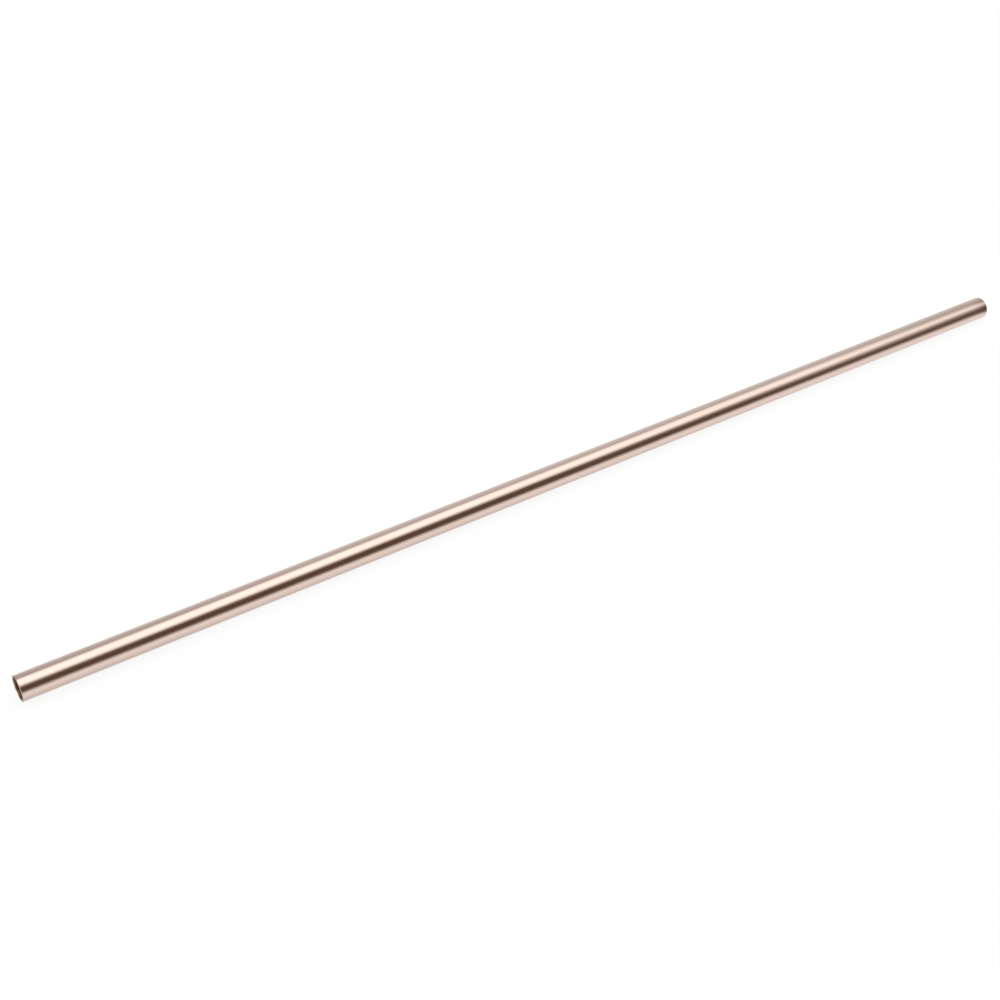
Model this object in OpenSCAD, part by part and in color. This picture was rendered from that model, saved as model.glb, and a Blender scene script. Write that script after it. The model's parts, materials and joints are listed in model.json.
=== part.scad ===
// Straight length of hard-drawn copper tube, lying on its side.
// It is one piece: a thin round wall, cut square at both ends. The cut edges are dressed,
// with the outer corner rounded over and the corner of the bore reamed.
// The tube lies along X, with the middle of its underside at the origin.

/* [Tube] */
// Length of the piece, from one cut face to the other
tube_length = 609.6; // [60:0.1:3000]
// Outside diameter, the size that fittings are made for
outside_d = 12.7; // [6:0.05:54]
// Thickness of the wall
wall = 0.889; // [0.6:0.001:2.5]

/* [Cut ends] */
// Radius of the rounded outer corner of each end
corner_r = 0.25; // [0.05:0.01:0.3]
// How far the reamed corner of the bore reaches along the tube
ream_depth = 0.3; // [0.05:0.01:0.6]
// How far the reamed corner of the bore reaches into the wall
ream_width = 0.2; // [0.05:0.01:0.28]

/* [Hidden] */
$fn = 128;
outside_r = outside_d / 2;
bore_r = outside_r - wall;

// What the dressing takes off the outer corner: a square around the corner, less the
// round that is left. The corner is at the origin, with the metal below it on the left.
module outer_corner_waste() {
    difference() {
        square(2 * corner_r, center = true);
        translate([-corner_r, -corner_r])
            circle(r = corner_r);
    }
}

// What the reamer takes off the corner of the bore: a wedge whose slope crosses the bore
// at ream_depth and the cut face at ream_width, and runs as far again past both.
// The corner is at the origin, with the metal below it on the right.
module reamed_waste() {
    polygon([
        [-ream_width, -2 * ream_depth],
        [-ream_width, ream_depth],
        [2 * ream_width, ream_depth]
    ]);
}

// Both corners of the wall, dressed at the end that is at the top of the section
module end_waste() {
    translate([outside_r, tube_length / 2])
        outer_corner_waste();
    translate([bore_r, tube_length / 2])
        reamed_waste();
}

// Section through the wall on one side of the axis: across in X, along the tube in Y
module wall_section() {
    difference() {
        translate([bore_r, -tube_length / 2])
            square([wall, tube_length]);
        end_waste();
        mirror([0, 1])
            end_waste();
    }
}

module pipe() {
    color("#dcb39b")
        translate([0, 0, outside_r])
            rotate([0, 90, 0])
                rotate_extrude()
                    wall_section();
}

pipe();
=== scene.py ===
import json
import math

import bpy
import numpy as np
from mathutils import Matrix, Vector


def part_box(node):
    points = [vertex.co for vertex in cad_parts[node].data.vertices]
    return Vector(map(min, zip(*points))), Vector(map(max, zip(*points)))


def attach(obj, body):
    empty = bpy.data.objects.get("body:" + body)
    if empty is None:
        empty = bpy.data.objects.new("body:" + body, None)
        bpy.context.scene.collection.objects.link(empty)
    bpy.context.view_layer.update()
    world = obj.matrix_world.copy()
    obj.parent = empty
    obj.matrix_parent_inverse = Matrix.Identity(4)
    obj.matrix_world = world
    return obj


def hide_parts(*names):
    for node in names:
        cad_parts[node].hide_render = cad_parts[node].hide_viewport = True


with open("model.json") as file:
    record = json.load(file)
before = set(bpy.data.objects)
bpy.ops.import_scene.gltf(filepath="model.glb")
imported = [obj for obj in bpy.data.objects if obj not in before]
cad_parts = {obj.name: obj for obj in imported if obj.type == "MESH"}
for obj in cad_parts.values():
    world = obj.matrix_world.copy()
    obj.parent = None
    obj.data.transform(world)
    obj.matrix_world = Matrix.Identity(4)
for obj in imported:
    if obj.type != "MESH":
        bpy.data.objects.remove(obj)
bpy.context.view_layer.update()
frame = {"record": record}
record = frame["record"]
scene = bpy.context.scene
scene.view_settings.view_transform = "Standard"

# Camera
# It stands in front of the tube's left end and looks down along it, so that the near end is
# low on the left of the picture and the far end is high on the right.
CAMERA_PLACE = (-0.4195, -0.5526, 0.4930)
LOOKS_DOWN = math.radians(36.255)
TURNED_RIGHT = math.radians(33.892)
LENS_MM = 57.86
SENSOR_MM = 36.0
NEAREST_SEEN = 0.01
FARTHEST_SEEN = 50.0
camera_data = bpy.data.cameras.new("camera")
camera_data.lens = LENS_MM
camera_data.sensor_width = SENSOR_MM
camera_data.clip_start = NEAREST_SEEN
camera_data.clip_end = FARTHEST_SEEN
camera = bpy.data.objects.new("camera", camera_data)
camera.location = CAMERA_PLACE
camera.rotation_euler = (math.pi / 2 - LOOKS_DOWN, 0.0, -TURNED_RIGHT)
scene.collection.objects.link(camera)
scene.camera = camera

# Copper tube
# A straight length of hard-drawn copper tube. It is pulled cold through a ring die over a plug,
# and then sawn off square. The saw's edges are dressed: the outer corner is rounded and the
# corner of the bore is reamed.
MM = 0.001
mounts = {mount["name"]: mount for mount in record["mounts"]}
spigot = mounts["spigot_minus_x"]["dims"]
bore = mounts["bore_minus_x"]["dims"]
low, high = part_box("pipe")
TUBE_LENGTH = high.x - low.x
OUTSIDE_R = spigot["r_mm"] * MM
BORE_R = bore["r_mm"] * MM
CORNER_R = (TUBE_LENGTH - spigot["length_mm"] * MM) / 2
REAM_DEPTH = (TUBE_LENGTH - bore["length_mm"] * MM) / 2
REAM_WIDTH = 0.2 * MM
TUBE_SIDES = 192
WALL_STEPS = 30
CORNER_STEPS = 10
FACE_STEPS = 5
REAM_STEPS = 3
SHARP_EDGE = math.radians(25)
OUTSIDE, CUT_EDGE, BORE = 0, 1, 2


def straight(start, end, steps, finish):
    """Points from start towards end in equal steps, each an x and an r, without the last one,
    and the finish of the stretch that starts at each of them."""
    share = np.arange(steps) / steps
    x = start[0] + (end[0] - start[0]) * share
    r = start[1] + (end[1] - start[1]) * share
    return x, r, np.full(steps, finish)


def corner(centre, radius, steps, finish):
    """Points on a quarter circle, x = centre + radius sin a and r = centre + radius cos a as
    a goes from 0 to a quarter turn, without the last one, and the finish of each stretch."""
    turn = math.pi / 2 * np.arange(steps) / steps
    x = centre[0] + radius * np.sin(turn)
    r = centre[1] + radius * np.cos(turn)
    return x, r, np.full(steps, finish)


def wall_half():
    """Half of the section through the wall, from the middle of the outside to the middle of
    the bore, round the end at +X: x along the tube, r out from the axis, and the finish."""
    end = TUBE_LENGTH / 2
    corner_start = (end - CORNER_R, OUTSIDE_R)
    corner_centre = (end - CORNER_R, OUTSIDE_R - CORNER_R)
    face_outside = (end, OUTSIDE_R - CORNER_R)
    face_inside = (end, BORE_R + REAM_WIDTH)
    ream_end = (end - REAM_DEPTH, BORE_R)
    stretches = [
        straight((0.0, OUTSIDE_R), corner_start, WALL_STEPS, OUTSIDE),
        corner(corner_centre, CORNER_R, CORNER_STEPS, CUT_EDGE),
        straight(face_outside, face_inside, FACE_STEPS, CUT_EDGE),
        straight(face_inside, ream_end, REAM_STEPS, CUT_EDGE),
        straight(ream_end, (0.0, BORE_R), WALL_STEPS, BORE),
    ]
    return [np.concatenate(parts) for parts in zip(*stretches)]


def wall_loop():
    """The closed section through the wall: the half at +X, and its mirror image in x run
    backwards, which brings the loop back to the middle of the outside."""
    x, r, finish = wall_half()
    back_x = np.concatenate([[0.0], -x[:0:-1]])
    back_r = np.concatenate([[BORE_R], r[:0:-1]])
    return (
        np.concatenate([x, back_x]),
        np.concatenate([r, back_r]),
        np.concatenate([finish, finish[::-1]]),
    )


def turned(name, x, r, finish, sides):
    """The closed section turned about the tube's axis. The point x, r at the angle a lies at
    (x, r cos a, OUTSIDE_R + r sin a), and each face joins two neighbours of the section at two
    neighbouring angles, so the surface closes on itself both ways."""
    count = len(x)
    angle = -math.pi / 2 + 2 * math.pi * np.arange(sides) / sides
    places = np.stack(
        [
            np.broadcast_to(x[:, None], (count, sides)),
            r[:, None] * np.cos(angle),
            OUTSIDE_R + r[:, None] * np.sin(angle),
        ],
        axis=-1,
    )
    number = np.arange(count * sides).reshape(count, sides)
    after = np.roll(number, -1, axis=0)
    faces = np.stack(
        [number, np.roll(number, -1, axis=1), np.roll(after, -1, axis=1), after], axis=-1
    )
    mesh = bpy.data.meshes.new(name)
    mesh.from_pydata(places.reshape(-1, 3).tolist(), [], faces.reshape(-1, 4).tolist())
    mesh.polygons.foreach_set("material_index", np.repeat(finish, sides))
    mesh.shade_smooth()
    mesh.set_sharp_from_angle(angle=SHARP_EDGE)
    mesh.update()
    return mesh


tube_mesh = turned("copper_tube", *wall_loop(), TUBE_SIDES)
tube = bpy.data.objects.new("copper_tube", tube_mesh)
scene.collection.objects.link(tube)


def linear(hex_colour):
    """The linear colour of an sRGB hex value: a channel is divided by 12.92 up to 0.04045, and
    above that it is raised by 0.055, divided by 1.055 and taken to the power 2.4."""
    channels = [int(hex_colour[i : i + 2], 16) / 255 for i in (1, 3, 5)]
    return tuple(
        c / 12.92 if c <= 0.04045 else ((c + 0.055) / 1.055) ** 2.4 for c in channels
    ) + (1.0,)


def add_node(tree, kind, inputs, **settings):
    """Adds a shader node. The settings are its properties. Each input is a value for a socket,
    or the output of another node that is linked to it."""
    node = tree.nodes.new("ShaderNode" + kind)
    for name, value in settings.items():
        setattr(node, name, value)
    for socket, value in inputs.items():
        if isinstance(value, bpy.types.NodeSocket):
            tree.links.new(value, node.inputs[socket])
        else:
            node.inputs[socket].default_value = value
    return node


def new_material(name):
    """An empty material and its node tree."""
    material = bpy.data.materials.new(name)
    material.use_nodes = True
    material.node_tree.nodes.clear()
    return material, material.node_tree


# The outside is bright hard-drawn copper. The die leaves a smooth skin that mirrors what is
# round it a little softly, with fine lines along the tube. Real lines are about 0.05 mm
# apart, which is too fine to show, so they are drawn 0.3 mm apart. What is left of the
# drawing oil is a film that makes the copper a shade deeper in long streaks.
LINE_SPACING = 0.3 * MM
LINE_LENGTH = 180 * MM
LINE_DEPTH = 0.005 * MM
LINE_LOW, LINE_HIGH = 0.3, 0.7
SMOOTHEST, ROUGHEST = 0.17, 0.23
FILM_LENGTH = 60 * MM
FILM_WIDTH = 6 * MM
FILM_STARTS, FILM_WHOLE = 0.35, 0.65
CLEAN_COPPER = linear("#f5ded3")
FILMED_COPPER = linear("#f3dccf")


def draw_lines(tree):
    """The fine lines along the tube that the die and the plug leave, as a height from 0 to 1:
    a noise whose cells are LINE_LENGTH long and LINE_SPACING across."""
    stretched = add_node(
        tree,
        "Mapping",
        {
            "Vector": add_node(tree, "TexCoord", {}).outputs["Object"],
            "Scale": (1 / LINE_LENGTH, 1 / LINE_SPACING, 1 / LINE_SPACING),
        },
    )
    noise = add_node(
        tree,
        "TexNoise",
        {"Vector": stretched.outputs["Vector"], "Scale": 1.0, "Detail": 3.0, "Roughness": 0.6},
    )
    return noise.outputs["Fac"]


drawn_copper, tree = new_material("bright_drawn_copper")
lines = draw_lines(tree)
film_place = add_node(
    tree,
    "Mapping",
    {
        "Vector": add_node(tree, "TexCoord", {}).outputs["Object"],
        "Scale": (1 / FILM_LENGTH, 1 / FILM_WIDTH, 1 / FILM_WIDTH),
    },
).outputs["Vector"]
film = add_node(
    tree, "TexNoise", {"Vector": film_place, "Scale": 1.0, "Detail": 2.0, "Roughness": 0.5}
).outputs["Fac"]
film_share = add_node(
    tree, "MapRange", {"Value": film, "From Min": FILM_STARTS, "From Max": FILM_WHOLE}
).outputs["Result"]
skin_colour = add_node(
    tree,
    "Mix",
    {"Factor": film_share, "A": CLEAN_COPPER, "B": FILMED_COPPER},
    data_type="RGBA",
).outputs["Result"]
skin_roughness = add_node(
    tree,
    "MapRange",
    {
        "Value": lines,
        "From Min": LINE_LOW,
        "From Max": LINE_HIGH,
        "To Min": SMOOTHEST,
        "To Max": ROUGHEST,
    },
).outputs["Result"]
skin_bump = add_node(
    tree, "Bump", {"Height": lines, "Strength": 1.0, "Distance": LINE_DEPTH}
).outputs["Normal"]
skin = add_node(
    tree,
    "BsdfPrincipled",
    {
        "Base Color": skin_colour,
        "Metallic": 1.0,
        "Roughness": skin_roughness,
        "Normal": skin_bump,
    },
).outputs["BSDF"]
add_node(tree, "OutputMaterial", {"Surface": skin})
tube_mesh.materials.append(drawn_copper)

# The cut edges are fresh copper. The blade and the deburring tool go round the tube, and
# leave fine rings on the face and bright metal on the dressed corners. A wave texture has
# 20 rings in 2 pi at a scale of 1.
RING_SPACING = 0.12 * MM
RING_DEPTH = 0.004 * MM
WAVE_RING = 2 * math.pi / 20
CUT_COPPER = linear("#f8dccb")
CUT_ROUGHNESS = 0.3
cut_copper, tree = new_material("fresh_cut_copper")
centred = add_node(
    tree,
    "Mapping",
    {
        "Vector": add_node(tree, "TexCoord", {}).outputs["Object"],
        "Location": (0.0, 0.0, -OUTSIDE_R),
    },
).outputs["Vector"]
rings = add_node(
    tree,
    "TexWave",
    {
        "Vector": centred,
        "Scale": WAVE_RING / RING_SPACING,
        "Distortion": 1.5,
        "Detail": 2.0,
    },
    wave_type="RINGS",
    rings_direction="X",
).outputs["Fac"]
cut_bump = add_node(
    tree, "Bump", {"Height": rings, "Strength": 1.0, "Distance": RING_DEPTH}
).outputs["Normal"]
cut = add_node(
    tree,
    "BsdfPrincipled",
    {
        "Base Color": CUT_COPPER,
        "Metallic": 1.0,
        "Roughness": CUT_ROUGHNESS,
        "Normal": cut_bump,
    },
).outputs["BSDF"]
add_node(tree, "OutputMaterial", {"Surface": cut})
tube_mesh.materials.append(cut_copper)

# The bore is copper as the plug left it: a duller, browner skin, with lines twice as deep.
BORE_LINE_DEPTH = 2 * LINE_DEPTH
BORE_COPPER = linear("#d9b199")
BORE_ROUGHNESS = 0.4
bore_copper, tree = new_material("drawn_bore_copper")
bore_bump = add_node(
    tree, "Bump", {"Height": draw_lines(tree), "Strength": 1.0, "Distance": BORE_LINE_DEPTH}
).outputs["Normal"]
bore_skin = add_node(
    tree,
    "BsdfPrincipled",
    {
        "Base Color": BORE_COPPER,
        "Metallic": 1.0,
        "Roughness": BORE_ROUGHNESS,
        "Normal": bore_bump,
    },
).outputs["BSDF"]
add_node(tree, "OutputMaterial", {"Surface": bore_skin})
tube_mesh.materials.append(bore_copper)

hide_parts("pipe")
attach(tube, "root")

# Floor
# A plain white table top, far larger than the picture. It shows white, with the faint shadow
# that the tube leaves under its belly. The metal mirrors the studio below instead of it.
FLOOR_HALF = 8.0
FLOOR_WHITE = (0.8, 0.8, 0.8, 1.0)
WHITE = (1.0, 1.0, 1.0, 1.0)
GLOW_SHARE = 0.88
GLOW = 1.017
floor_mesh = bpy.data.meshes.new("floor")
floor_mesh.from_pydata(
    [
        (-FLOOR_HALF, -FLOOR_HALF, 0.0),
        (FLOOR_HALF, -FLOOR_HALF, 0.0),
        (FLOOR_HALF, FLOOR_HALF, 0.0),
        (-FLOOR_HALF, FLOOR_HALF, 0.0),
    ],
    [],
    [(0, 1, 2, 3)],
)
floor = bpy.data.objects.new("floor", floor_mesh)
scene.collection.objects.link(floor)
floor.visible_glossy = False
white_top, tree = new_material("white_table_top")
path = add_node(tree, "LightPath", {}).outputs
seen = add_node(
    tree, "Math", {0: path["Is Camera Ray"], 1: path["Is Glossy Ray"]}, operation="ADD"
).outputs["Value"]
seen = add_node(
    tree, "Math", {0: seen, 1: path["Is Transmission Ray"]}, operation="ADD"
).outputs["Value"]
glowing = add_node(
    tree, "Math", {0: seen, 1: GLOW_SHARE}, operation="MULTIPLY"
).outputs["Value"]
lit = add_node(tree, "BsdfDiffuse", {"Color": FLOOR_WHITE}).outputs["BSDF"]
glow = add_node(tree, "Emission", {"Color": WHITE, "Strength": GLOW}).outputs["Emission"]
top = add_node(tree, "MixShader", {0: glowing, 1: lit, 2: glow}).outputs["Shader"]
add_node(tree, "OutputMaterial", {"Surface": top})
floor_mesh.materials.append(white_top)

# Lamp
# A large soft lamp over the tube, for the floor's light and its shadow.
LAMP_SIDE = 1.6
LAMP_HEIGHT = 1.8
LAMP_RADIANCE = 1.8
lamp_data = bpy.data.lights.new("overhead_lamp", "AREA")
lamp_data.shape = "SQUARE"
lamp_data.size = LAMP_SIDE
lamp_data.energy = LAMP_RADIANCE * math.pi * LAMP_SIDE**2
lamp = bpy.data.objects.new("overhead_lamp", lamp_data)
lamp.location = (0.0, 0.0, LAMP_HEIGHT)
lamp.visible_glossy = False
lamp.visible_camera = False
scene.collection.objects.link(lamp)

# Studio
# What the bright metal mirrors: the grey wall behind, the softbox overhead, a dark card that
# hangs in front, the white table below, and a lamp past the far end with two dark gaps beside
# it. Each is laid over the ones before it where a ray's direction, measured along an axis,
# goes past a soft edge. Little light reaches the left of the studio, short of its far left,
# so all of it is dimmer there. The camera sees a pale backdrop, which matches the floor at
# its far edge. A fade is where along its axis a level changes, and the levels are those
# before and after it.
TO_THE_RIGHT = (1.0, 0.0, 0.0)
TO_THE_LEFT = (-1.0, 0.0, 0.0)
DOWNWARDS = (0.0, 0.0, -1.0)
SOFT_EDGE_FADE = (-0.28, 0.28)
SOFTBOX_BACK_EDGE = (-0.076, -0.914, 0.400)
SOFTBOX_FRONT_EDGE = (-0.024, -0.812, -0.583)
SOFTBOX_FADE = (0.43, 0.75)
SOFTBOX_LEVELS = (1.29, 0.98)
TABLE_EDGE = (-0.203, 0.100, -0.974)
TABLE_FADE = (0.60, 0.95)
TABLE_LEVELS = (0.86, 0.65)
WALL_PALER_TOWARDS = (0.544, 0.790, 0.283)
WALL_FADE = (0.82, 1.0)
WALL_LEVELS = (0.37, 0.63)
FAR_LAMP = (0.944, -0.170, 0.282)
FAR_LAMP_FADE = (0.761, 1.022)
GAP_BEHIND_LAMP = (0.891, 0.093, 0.445)
GAP_BEHIND_FADE = (0.898, 0.995)
GAP_BELOW_LAMP = (0.974, -0.227, 0.024)
GAP_BELOW_FADE = (0.777, 0.889)
LAMP_WHITE = (1.23, 1.23, 1.23, 1.0)
CARD_BROWN = linear("#554032")
DIM_LEVEL = 0.45
DIMMING_FADE = (0.0, 0.25)
BRIGHTENING_FADE = (0.68, 0.88)
SKY_GREY = (0.8, 0.8, 0.8, 1.0)
BACKDROP_WHITE = (0.972, 0.972, 0.972, 1.0)
world = bpy.data.worlds.new("studio")
scene.world = world
world.use_nodes = True
tree = world.node_tree
tree.nodes.clear()
ray = add_node(tree, "TexCoord", {}).outputs["Generated"]


def gradient(axis, start, end, first, last, blend="LINEAR"):
    """A level that goes from first to last over the sky, as the part of a ray's direction that
    lies along the axis goes from start to end."""
    along = add_node(tree, "VectorMath", {0: ray, 1: axis}, operation="DOT_PRODUCT")
    level = add_node(
        tree,
        "MapRange",
        {
            "Value": along.outputs["Value"],
            "From Min": start,
            "From Max": end,
            "To Min": first,
            "To Max": last,
        },
        interpolation_type=blend,
    )
    return level.outputs["Result"]


softbox = gradient(TO_THE_RIGHT, *SOFTBOX_FADE, *SOFTBOX_LEVELS)
table = gradient(DOWNWARDS, *TABLE_FADE, *TABLE_LEVELS)
mirrored = gradient(WALL_PALER_TOWARDS, *WALL_FADE, *WALL_LEVELS)
for axis, fade, laid in (
    (SOFTBOX_BACK_EDGE, SOFT_EDGE_FADE, softbox),
    (SOFTBOX_FRONT_EDGE, SOFT_EDGE_FADE, CARD_BROWN),
    (TABLE_EDGE, SOFT_EDGE_FADE, table),
    (FAR_LAMP, FAR_LAMP_FADE, LAMP_WHITE),
    (GAP_BEHIND_LAMP, GAP_BEHIND_FADE, CARD_BROWN),
    (GAP_BELOW_LAMP, GAP_BELOW_FADE, CARD_BROWN),
):
    past = gradient(axis, *fade, 0.0, 1.0, "SMOOTHSTEP")
    mirrored = add_node(
        tree, "Mix", {"Factor": past, "A": mirrored, "B": laid}, data_type="RGBA"
    ).outputs["Result"]
dimming = gradient(TO_THE_LEFT, *DIMMING_FADE, 1.0, DIM_LEVEL)
brightening = gradient(TO_THE_LEFT, *BRIGHTENING_FADE, DIM_LEVEL, 1.0)
light_left = add_node(
    tree, "Math", {0: dimming, 1: brightening}, operation="MAXIMUM"
).outputs["Value"]
mirrored = add_node(
    tree, "VectorMath", {0: mirrored, "Scale": light_left}, operation="SCALE"
).outputs["Vector"]

path = add_node(tree, "LightPath", {}).outputs
seen = add_node(
    tree, "Math", {0: path["Is Camera Ray"], 1: path["Is Transmission Ray"]}, operation="ADD"
).outputs["Value"]
plain_sky = add_node(
    tree, "Mix", {"Factor": seen, "A": SKY_GREY, "B": BACKDROP_WHITE}, data_type="RGBA"
).outputs["Result"]
sky = add_node(
    tree,
    "Mix",
    {"Factor": path["Is Glossy Ray"], "A": plain_sky, "B": mirrored},
    data_type="RGBA",
).outputs["Result"]
background = add_node(tree, "Background", {"Color": sky, "Strength": 1.0}).outputs["Background"]
add_node(tree, "OutputWorld", {"Surface": background})
